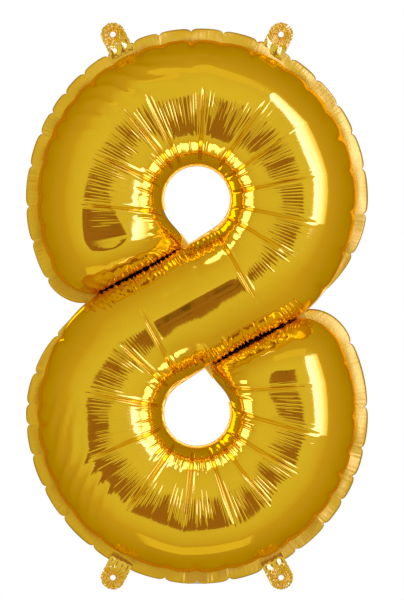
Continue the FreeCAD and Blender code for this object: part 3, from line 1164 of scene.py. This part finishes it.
@dataclass
class Tab:
    """A two-ply ear for hanging: a crumpled round end about a punched hole, on a neck that runs down to the rim."""

    site: TabSite
    figure: Figure
    material: bpy.types.Material
    width: float = 17.2 * MM
    reach: float = 9.5 * MM
    hole: float = 2.0 * MM
    lean: float = 27.0
    setback: float = 0.7 * MM
    root: float = 7.0 * MM
    lean_back: float = 0.2
    rings: int = 26
    rays: int = 220
    plies: float = 0.14 * MM
    ragged: float = 0.18 * MM
    star: float = 0.9 * MM
    star_mean: float = 0.6
    cup: float = 1.1 * MM
    neck_fold: float = 0.5 * MM
    bend: float = 1.6 * MM

    def outline(self, angle: Array) -> Array:
        """Distance from the hole's middle to the tab's edge: round beyond the hole, then straight down to a root.

        Args:
            angle: about the hole, in radians.

        Returns:
            The distance, slightly ragged.
        """
        half = self.width / 2
        down = -np.sin(angle)
        side = half / np.maximum(np.abs(np.cos(angle)), 1e-6)
        foot = (self.reach + self.root) / np.maximum(down, 1e-6)
        ragged = noise(51 + len(self.site.value[0]), 0.5, angle) + noise(57, 0.23, angle)
        return np.where(down > 0, np.minimum(side, foot), half) + self.ragged * ragged

    def crumple(self, angle: Array, radius: Array, x: Array, z: Array, seed: int) -> Array:
        """How far the crumpled ear stands off its plane.

        Two stars of gathers spread from the hole, over two sizes of noise. Across its width the ear is cupped,
        and above its root it leans back. Small waves run down the neck.

        Args:
            angle: about the hole, in radians.
            radius: from the hole's middle.
            x: across the ear.
            z: up the ear from its root.
            seed: what makes this ear differ from another.

        Returns:
            The distance along the ear's normal.
        """
        star = np.abs(np.sin(6.5 * angle + noise(seed, 1.7, angle))) - self.star_mean
        fine = np.abs(np.sin(17 * angle + 2 * noise(seed + 1, 1.1, angle))) - self.star_mean
        near = hump(radius, self.hole * 0.7, self.hole * 0.7 + 8 * MM, 2.2 * MM)
        share = (radius - self.hole) / (self.outline(angle) - self.hole)
        depth = self.star * (star + 0.5 * fine) * near + 0.22 * MM * noise(seed + 3, 2.2 * MM, x, z)
        depth = depth + 0.45 * MM * noise(seed + 2, 6 * MM, x, z) * ease(share * 2)
        cup = self.cup * (x / (self.width / 2)) ** 2
        waves = self.neck_fold * np.sin(x / (1.3 * MM)) * hump(z, -5 * MM, 3 * MM, 3 * MM)
        return (depth + cup) * ease((z + 1.5 * MM) / (5 * MM)) - self.lean_back * np.maximum(z, 0.0) + waves

    def build(self) -> bpy.types.Object:
        """Lays rings of points from the hole out to the edge, crumples them and stands them at the rim.

        Returns:
            The tab.
        """
        name, across, up = self.site.value
        angle = np.linspace(0.0, 2 * math.pi, self.rays, endpoint=False)[:, None]
        share = np.linspace(0.0, 1.0, self.rings)[None, :]
        radius = self.hole + (self.outline(angle) - self.hole) * share
        x, z = radius * np.cos(angle), radius * np.sin(angle) + self.reach
        y = -self.crumple(angle, radius, x, z, int(63 + 2 * across + 5 * up))
        turn = across * math.radians(self.lean)
        base = self.figure.rim_radius + self.setback
        height = (z + base) * math.cos(turn) - x * math.sin(turn) + self.figure.ring_z
        grid = np.stack([x * math.cos(turn) + (z + base) * math.sin(turn), y, up * height], axis=-1)
        arrays = surface(grid, Face.FRONT.value, closed=True)
        piece = mesh_piece(f"tab_{name}", arrays, self.material, thickness=self.plies)
        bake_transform(piece)
        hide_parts(f"hanging_tab_{name}")
        return piece


@dataclass
class ValveFilm:
    """One of the two thin films of the inflation valve, bowed off its partner between the mouth and the end."""

    face: Face
    node: str
    material: bpy.types.Material
    flat: tuple[float, float] = (0.014, 0.062)
    rows: int = 90
    columns: int = 24
    ply: float = 0.04 * MM
    gap: float = 0.03 * MM
    bow: float = 0.55 * MM
    ripple: float = 0.06 * MM

    def build(self) -> bpy.types.Object:
        """Lays a strip over the node it stands for and bows it off the other film, as a cosine across.

        Returns:
            The film.
        """
        low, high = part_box(self.node)
        side = np.linspace(-1.0, 1.0, self.columns)[None, :]
        z = low.z + (high.z - low.z) * np.linspace(0.0, 1.0, self.rows)[:, None] + 0 * side
        x = (low.x + high.x) / 2 + (high.x - low.x) / 2 * side + 0 * z
        inside = ease((z - low.z - 9 * MM) / (10 * MM))
        y = self.face.value * (self.gap + self.bow * inside * np.cos(side * math.pi / 2) ** 0.8)
        y = y + self.ripple * noise(71, 11 * MM, x, z) * inside
        arrays = surface(np.stack([x, y, z], axis=-1), self.face.value)
        piece = mesh_piece(f"{self.node}_soft", arrays, self.material, thickness=self.ply)
        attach(piece, "balloon")
        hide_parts(self.node)
        self.flat
        return piece


# ---------------------------------------------------------------- finishes


class Nodes:
    """Adds and links the shader nodes of one material or world."""

    def __init__(self, owner: bpy.types.Material | bpy.types.World) -> None:
        """Takes the owner's own tree of nodes.

        Args:
            owner: the material or the world.
        """
        owner.use_nodes = True
        self.tree = owner.node_tree
        self.shader = self.tree.nodes.get("Principled BSDF")

    def add(self, kind: str, **settings: object) -> bpy.types.Node:
        """Adds a node.

        Args:
            kind: the node's type, without ShaderNode.
            settings: each sets a socket, named with _ for a space, or else a property of the node.

        Returns:
            The node.
        """
        node = self.tree.nodes.new("ShaderNode" + kind)
        for key, value in settings.items():
            label = key.replace("_", " ")
            if label in node.inputs:
                node.inputs[label].default_value = value
            else:
                setattr(node, key, value)
        return node

    def link(self, source: bpy.types.NodeSocket, target: bpy.types.NodeSocket) -> None:
        """Joins two sockets."""
        self.tree.links.new(source, target)

    def noise(self, scale: float, detail: float, **settings: float) -> bpy.types.NodeSocket:
        """Adds noise over the piece's own coordinates.

        Args:
            scale: how fine it is.
            detail: how many finer layers it has.
            settings: other sockets of the node.

        Returns:
            The noise's value.
        """
        node = self.add("TexNoise", Scale=scale, Detail=detail, **settings)
        self.link(self.add("TexCoord").outputs["Object"], node.inputs["Vector"])
        return node.outputs["Fac"]

    def ramp(self, source: bpy.types.NodeSocket, *steps: tuple[float, Colour]) -> bpy.types.NodeSocket:
        """Turns a value into a colour that changes evenly from one step to the next.

        Args:
            source: the value.
            steps: the value and the colour of each step, in rising order.

        Returns:
            The colour.
        """
        node = self.add("ValToRGB")
        marks = node.color_ramp.elements
        marks[0].position, marks[1].position = steps[0][0], steps[-1][0]
        for place, _ in steps[1:-1]:
            marks.new(place)
        for mark, (_, colour) in zip(marks, steps, strict=True):
            mark.color = (*colour, 1.0)
        self.link(source, node.inputs["Fac"])
        return node.outputs["Color"]


@dataclass(frozen=True)
class FoilFinish:
    """Bright metallized film: a gold lacquer over aluminium, nearly a mirror, with a faint orange-peel."""

    name: str
    colour: Colour
    roughness: float
    ripple_depth: float
    ripple_size: float
    grain_depth: float
    tint: float = 0.06
    edge: Colour = (0.85, 0.6, 0.1)
    grain_scale: float = 900.0
    worn: tuple[float, float] = (0.75, 1.3)

    def build(self) -> bpy.types.Material:
        """Metal of one colour that wanders slightly, with two sizes of bump.

        Returns:
            The material.
        """
        material = bpy.data.materials.new(self.name)
        nodes = Nodes(material)
        shader = nodes.shader
        shader.inputs["Metallic"].default_value = 1.0
        shader.inputs["Specular Tint"].default_value = (*self.edge, 1.0)
        dark = tuple(c * (1.0 - self.tint) for c in self.colour)
        nodes.link(nodes.ramp(nodes.noise(22.0, 2.0), (0.3, dark), (0.7, self.colour)), shader.inputs["Base Color"])
        low, high = self.worn
        rough = nodes.add("MapRange", To_Min=self.roughness * low, To_Max=self.roughness * high)
        nodes.link(nodes.noise(60.0, 3.0), rough.inputs["Value"])
        nodes.link(rough.outputs["Result"], shader.inputs["Roughness"])
        first = nodes.add("Bump", Distance=self.ripple_depth)
        second = nodes.add("Bump", Distance=self.grain_depth)
        nodes.link(nodes.noise(1.0 / self.ripple_size, 2.0, Roughness=0.45), first.inputs["Height"])
        nodes.link(nodes.noise(self.grain_scale, 1.0), second.inputs["Height"])
        nodes.link(first.outputs["Normal"], second.inputs["Normal"])
        nodes.link(second.outputs["Normal"], shader.inputs["Normal"])
        return material


@dataclass(frozen=True)
class FilmFinish:
    """Clear thin plastic for the valve."""

    name: str = "valve_film"
    colour: Colour = (0.86, 0.84, 0.78)
    roughness: float = 0.22
    clear: float = 0.35
    tint: float = 0.08

    def build(self) -> bpy.types.Material:
        """A glossy plastic whose shade wanders slightly.

        Returns:
            The material.
        """
        material = bpy.data.materials.new(self.name)
        nodes = Nodes(material)
        dark = tuple(c * (1.0 - self.tint) for c in self.colour)
        shade = nodes.ramp(nodes.noise(180.0, 2.0), (0.0, dark), (1.0, self.colour))
        nodes.link(shade, nodes.shader.inputs["Base Color"])
        nodes.shader.inputs["Roughness"].default_value = self.roughness
        nodes.shader.inputs["Transmission Weight"].default_value = self.clear
        return material


# ---------------------------------------------------------------- studio


@dataclass(frozen=True)
class Card:
    """A flat card in the studio that the foil reflects, never seen itself.

    Attributes:
        azimuth: degrees round from the camera, to its right as it looks.
        elevation: degrees above level.
        wide: width.
        tall: height.
        bright: what it gives off.
        tint: its colour.
        far: distance from the balloon.
        near_edge: light given off at the edge nearest the camera where the card is graded.
    """

    name: str
    azimuth: float
    elevation: float
    wide: float
    tall: float
    bright: float
    tint: Colour = (1.0, 1.0, 1.0)
    far: float = 2.2
    near_edge: Colour | None = None
    grading: float = 1.5

    def grade(self, nodes: Nodes, glow: bpy.types.Node) -> None:
        """Grades the card's light from its near edge to its far one.

        Args:
            nodes: the card's nodes.
            glow: the node that gives off its light.
        """
        split = nodes.add("SeparateXYZ")
        curve = nodes.add("Math", operation="POWER")
        curve.inputs[1].default_value = self.grading
        mix = nodes.add("Mix", data_type="VECTOR")
        mix.inputs["A"].default_value = self.near_edge
        mix.inputs["B"].default_value = tuple(self.bright * c for c in self.tint)
        nodes.link(nodes.add("TexCoord").outputs["UV"], split.inputs["Vector"])
        nodes.link(split.outputs["X"], curve.inputs[0])
        nodes.link(curve.outputs["Value"], mix.inputs["Factor"])
        nodes.link(mix.outputs["Result"], glow.inputs["Color"])
        glow.inputs["Strength"].default_value = 1.0

    def build(self) -> bpy.types.Object:
        """Makes the card, turned to face the balloon's middle.

        Returns:
            The card.
        """
        turn, lift = math.radians(self.azimuth), math.radians(self.elevation)
        way = Vector((math.sin(turn) * math.cos(lift), -math.cos(turn) * math.cos(lift), math.sin(lift)))
        spin = np.array((-way).to_track_quat("Z", "Y").to_matrix())
        uv = np.array([(0.0, 0.0), (1.0, 0.0), (1.0, 1.0), (0.0, 1.0)])
        corners = (uv - 0.5) * (self.wide, self.tall)
        points = corners @ spin[:, :2].T + np.array(way) * self.far
        material = bpy.data.materials.new(self.name)
        nodes = Nodes(material)
        glow = nodes.add("Emission", Strength=self.bright, Color=(*self.tint, 1.0))
        nodes.link(glow.outputs["Emission"], nodes.tree.nodes["Material Output"].inputs["Surface"])
        if self.near_edge is not None:
            self.grade(nodes, glow)
        card = mesh_piece(self.name, (points, np.array([[0, 1, 2, 3]])), material, uv)
        card.visible_camera = card.visible_shadow = card.visible_diffuse = False
        return card


@dataclass(frozen=True)
class Studio:
    """Pale surroundings, a floor well below, the cards, two small lamps and the camera."""

    cards: tuple[Card, ...]
    eye_height: float
    lens: float = 201.0
    film_height: float = 36.0
    distance: float = 2.4
    aim_x: float = 0.0036
    aim_z: float = 0.0043
    floor_drop: float = 0.55
    floor_radius: float = 1.5
    floor_sides: int = 96
    floor_colour: Colour = (0.86, 0.86, 0.85)
    lamp_radius: float = 18.0 * MM
    lamp_reach: float = 50.0 * MM
    lamp_glow: float = 7.5
    lamp_colour: Colour = (0.35, 0.28, 1.0)
    room: tuple[tuple[float, Colour], ...] = (
        (0.0, (0.76, 0.66, 0.45)), (0.3, (0.62, 0.43, 0.17)), (0.62, (0.54, 0.38, 0.16)), (0.9, (0.46, 0.33, 0.15)),
    )

    def world(self) -> None:
        """White to the camera and on matt surfaces; the foil sees it pale in front and warm grey to the sides."""
        world = bpy.data.worlds.new("studio")
        nodes = Nodes(world)
        nodes.tree.nodes.clear()
        split = nodes.add("SeparateXYZ")
        nodes.link(nodes.add("TexCoord").outputs["Generated"], split.inputs["Vector"])
        shift = nodes.add("MapRange", From_Min=-1.0)
        nodes.link(split.outputs["Y"], shift.inputs["Value"])
        room = nodes.add("Background")
        nodes.link(nodes.ramp(shift.outputs["Result"], *self.room), room.inputs["Color"])
        white = nodes.add("Background", Color=(1.0, 1.0, 1.0, 1.0))
        ray = nodes.add("LightPath")
        plain = nodes.add("Math", operation="MAXIMUM")
        mix = nodes.add("MixShader")
        nodes.link(ray.outputs["Is Camera Ray"], plain.inputs[0])
        nodes.link(ray.outputs["Is Diffuse Ray"], plain.inputs[1])
        for index, source in enumerate((plain.outputs["Value"], room.outputs[0], white.outputs[0])):
            nodes.link(source, mix.inputs[index])
        nodes.link(mix.outputs["Shader"], nodes.add("OutputWorld").inputs["Surface"])
        bpy.context.scene.world = world

    def eye_lamp(self, name: str, height: float) -> None:
        """A small round lamp just in front of an eye, which only the film's brow round that eye can mirror.

        Args:
            name: the lamp's name.
            height: the eye's height.
        """
        data = bpy.data.lights.new(name, "AREA")
        data.shape = "DISK"
        data.size = 2 * self.lamp_radius
        data.color = self.lamp_colour
        data.energy = self.lamp_glow * math.pi * math.pi * self.lamp_radius**2
        lamp = bpy.data.objects.new(name, data)
        lamp.location = (0.0, -self.lamp_reach, height)
        lamp.rotation_euler = (math.radians(RIGHT_ANGLE), 0.0, 0.0)
        lamp.visible_camera = lamp.visible_diffuse = False
        bpy.context.scene.collection.objects.link(lamp)

    def floor(self) -> None:
        """A round pale floor below the balloon, out of the front view."""
        turn = np.linspace(0, 2 * math.pi, self.floor_sides, endpoint=False)
        height = np.full(self.floor_sides, -self.floor_drop)
        ring = np.stack([np.cos(turn) * self.floor_radius, np.sin(turn) * self.floor_radius, height], axis=1)
        paint = bpy.data.materials.new("floor_paint")
        nodes = Nodes(paint)
        nodes.shader.inputs["Base Color"].default_value = (*self.floor_colour, 1.0)
        nodes.shader.inputs["Roughness"].default_value = 0.7
        floor = mesh_piece("floor", (ring, np.arange(self.floor_sides)[None, :]), paint)
        floor.visible_glossy = False

    def camera(self) -> None:
        """A long lens straight in front, its long side upright."""
        data = bpy.data.cameras.new("camera")
        data.sensor_fit = "VERTICAL"
        data.sensor_height = self.film_height
        data.lens = self.lens
        data.clip_start, data.clip_end = 0.05, 20.0
        camera = bpy.data.objects.new("camera", data)
        camera.location = (self.aim_x, -self.distance, self.aim_z)
        camera.rotation_euler = (math.radians(RIGHT_ANGLE), 0.0, 0.0)
        bpy.context.scene.collection.objects.link(camera)
        bpy.context.scene.camera = camera

    def build(self) -> None:
        """Sets the stage."""
        self.world()
        self.floor()
        for card in self.cards:
            card.build()
        self.eye_lamp("upper_lamp", self.eye_height)
        self.eye_lamp("lower_lamp", -self.eye_height)
        self.camera()
        scene = bpy.context.scene
        scene.view_settings.view_transform = "Standard"
        scene.view_settings.look = "None"


CREAM = (0.155, 0.14, 1.0)
BROWN = (1.0, 0.46, 0.3)
WARM = (1.0, 0.78, 0.45)
NEAR = (1.05, 0.84, 1.0)

CARDS = (
    Card("camera_cloth", -3.0, -9.0, 1.35, 1.85, 0.34, BROWN, far=3.0),
    Card("camera_body", 0.0, 0.5, 0.12, 0.1, 0.03, far=2.7),
    Card("window", 42.0, 15.0, 1.25, 2.0, 20.0, CREAM, far=2.3, near_edge=NEAR),
    Card("top_panel", 0.0, 50.0, 1.6, 0.7, 0.8, WARM, far=2.3),
    Card("low_panel", 0.0, -80.0, 1.6, 1.0, 0.85, WARM, far=2.0),
    Card("back_cloth", 180.0, 0.0, 1.3, 1.2, 0.34, BROWN, far=3.0),
    Card("back_window", -154.0, 8.0, 0.5, 1.6, 2.5, WARM, far=2.3),
)

FOIL = FoilFinish("gold_foil", (0.92, 0.68, 0.035), 0.10, 0.05 * MM, 7.0 * MM, 0.004 * MM)
SEALED_FOIL = FoilFinish("gold_foil_sealed", (0.92, 0.69, 0.05), 0.38, 0.1 * MM, 4.0 * MM, 0.02 * MM)
EAR_FOIL = FoilFinish("gold_foil_ear", (0.95, 0.75, 0.10), 0.12, 0.2 * MM, 2.5 * MM, 0.01 * MM)

BROAD_LENS = Lens(204.0, 27.0, 0.08, 1.5 * MM, 0.02)
SLIM_LENS = Lens(199.0, 17.0, -0.2, 0.35 * MM, 0.15)
FRONT_HALVES = (
    Creasing(UPPER_CREASES, UPPER_NOTCHES, 100, 1, BROAD_LENS, 122.0),
    Creasing(LOWER_CREASES, LOWER_NOTCHES, 200, 2, SLIM_LENS, 20.0),
)
BACK_HALVES = (
    Creasing(UPPER_CREASES, UPPER_NOTCHES, 300, 1, SLIM_LENS, 60.0),
    Creasing(LOWER_CREASES, LOWER_NOTCHES, 400, 2, BROAD_LENS, 110.0),
)


def main() -> None:
    """Builds each piece, then the studio."""
    low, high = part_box("front_panel")
    figure = Figure(rim_radius=high.x, ring_z=high.z - high.x, rise=-low.y)
    log.info("rim radius %.4f, ring height %.4f, rise %.4f", figure.rim_radius, figure.ring_z, figure.rise)
    foil, sealed, crumpled = FOIL.build(), SEALED_FOIL.build(), EAR_FOIL.build()
    clear = FilmFinish().build()
    for part in (
        Panel("front_film", "front_panel", Face.FRONT, figure, FRONT_HALVES, foil),
        Panel("back_film", "back_panel", Face.BACK, figure, BACK_HALVES, foil),
        Weld(figure, FRONT_HALVES, sealed),
        *(Tab(site, figure, crumpled) for site in TabSite),
        ValveFilm(Face.FRONT, "valve_film_front", clear),
        ValveFilm(Face.BACK, "valve_film_back", clear),
    ):
        piece = part.build()
        log.info("%s: %d faces", piece.name, len(piece.data.polygons))
    Studio(CARDS, figure.ring_z).build()


if __name__ == "__main__":
    logging.basicConfig(level=logging.INFO)
    main()
